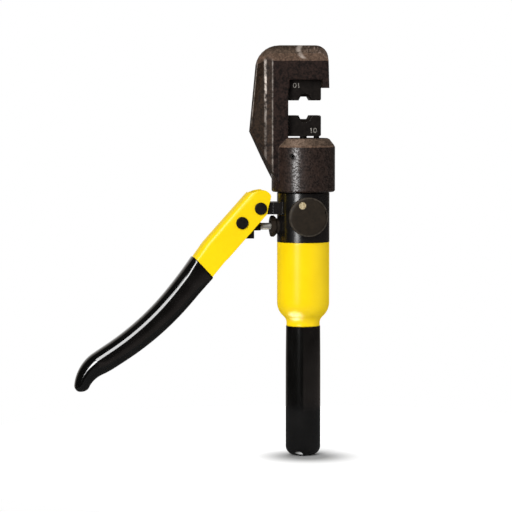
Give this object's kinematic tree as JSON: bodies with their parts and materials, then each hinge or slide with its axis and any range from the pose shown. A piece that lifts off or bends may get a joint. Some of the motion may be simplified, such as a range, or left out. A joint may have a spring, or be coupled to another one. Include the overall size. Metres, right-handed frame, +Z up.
{
  "type": "hydraulic crimping tool",
  "caption": "Hand-held hydraulic crimping tool: a pump lever drives a ram that closes hexagonal dies in an open forged head to crimp cable lugs.",
  "frame": {"origin": "centre of the flat base of the fixed grip, on the axis of the ram", "axes": "+Z up the axis of grip, pump and ram to the head; -X to the pump lever; -Y to the release knob; +Y completes the right-handed set"},
  "size_m": [0.2011, 0.0504, 0.3155],
  "materials": {
    "forged_steel": "rough dark forged",
    "die_steel": "black oxide",
    "black_steel": "gloss black",
    "dark_steel": "dark satin",
    "bright_steel": "bright ground",
    "yellow_paint": "gloss",
    "black_vinyl": "gloss dipped",
    "seal_rubber": "matte",
    "white_plastic": "matte",
    "black_plastic": "matte",
    "brass": "satin"
  },
  "bodies": {
    "frame": {"crimp_head": "forged_steel", "upper_die": "die_steel", "upper_die_ring": "seal_rubber", "head_lock_screw": "dark_steel", "pump_body": "black_steel", "gland_nut": "dark_steel", "plunger_seal": "seal_rubber", "suction_seat": "bright_steel", "suction_ball": "bright_steel", "suction_spring": "bright_steel", "delivery_ball": "bright_steel", "delivery_spring": "bright_steel", "delivery_plug": "bright_steel", "relief_ball": "bright_steel", "relief_spring": "bright_steel", "relief_screw": "bright_steel", "release_ball": "bright_steel", "spring_bolt": "bright_steel", "return_spring": "bright_steel", "handle_tube": "yellow_paint", "fixed_grip": "black_vinyl", "tube_plug": "black_plastic", "oil_bladder": "seal_rubber", "bladder_clamp": "bright_steel"},
    "ram": {"ram": "bright_steel", "ram_seal": "seal_rubber", "ram_backup_ring": "white_plastic", "spring_plate": "bright_steel", "lower_die": "die_steel", "lower_die_ring": "seal_rubber", "die_dowel": "dark_steel"},
    "lever": {"lever_channel": "yellow_paint", "lever_grip": "black_vinyl", "pivot_pin": "black_steel", "drive_pin": "black_steel", "pin_clips": "bright_steel"},
    "plunger": {"plunger_rod": "bright_steel", "rod_collar": "bright_steel", "crosshead": "black_steel"},
    "knob": {"release_knob": "black_steel", "knob_screw": "brass", "release_spindle": "bright_steel", "spindle_oring": "seal_rubber"}
  },
  "joints": [
    {"name": "lever_swing", "type": "hinge", "parent": "frame", "child": "lever", "pos_m": [-0.0348, 0, 0.1911], "axis": [0, -1, 0], "range_deg": [0, 35]},
    {"name": "plunger_slide", "type": "slide", "parent": "frame", "child": "plunger", "axis": [1, 0, 0], "range_m": [0, 0.0086]},
    {"name": "ram_slide", "type": "slide", "parent": "frame", "child": "ram", "axis": [0, 0, 1], "range_m": [0, 0.011], "stiffness_N_per_m": 2500, "springref_m": -0.004, "deforming": ["return_spring"]},
    {"name": "release_knob_turn", "type": "hinge", "parent": "frame", "child": "knob", "pos_m": [0, -0.02, 0.1849], "axis": [0, -1, 0], "range_deg": [0, 90]}
  ],
  "couplings": [
    {"joint": "plunger_slide", "follows": "lever_swing", "m_per_rad": 0.01394}
  ]
}
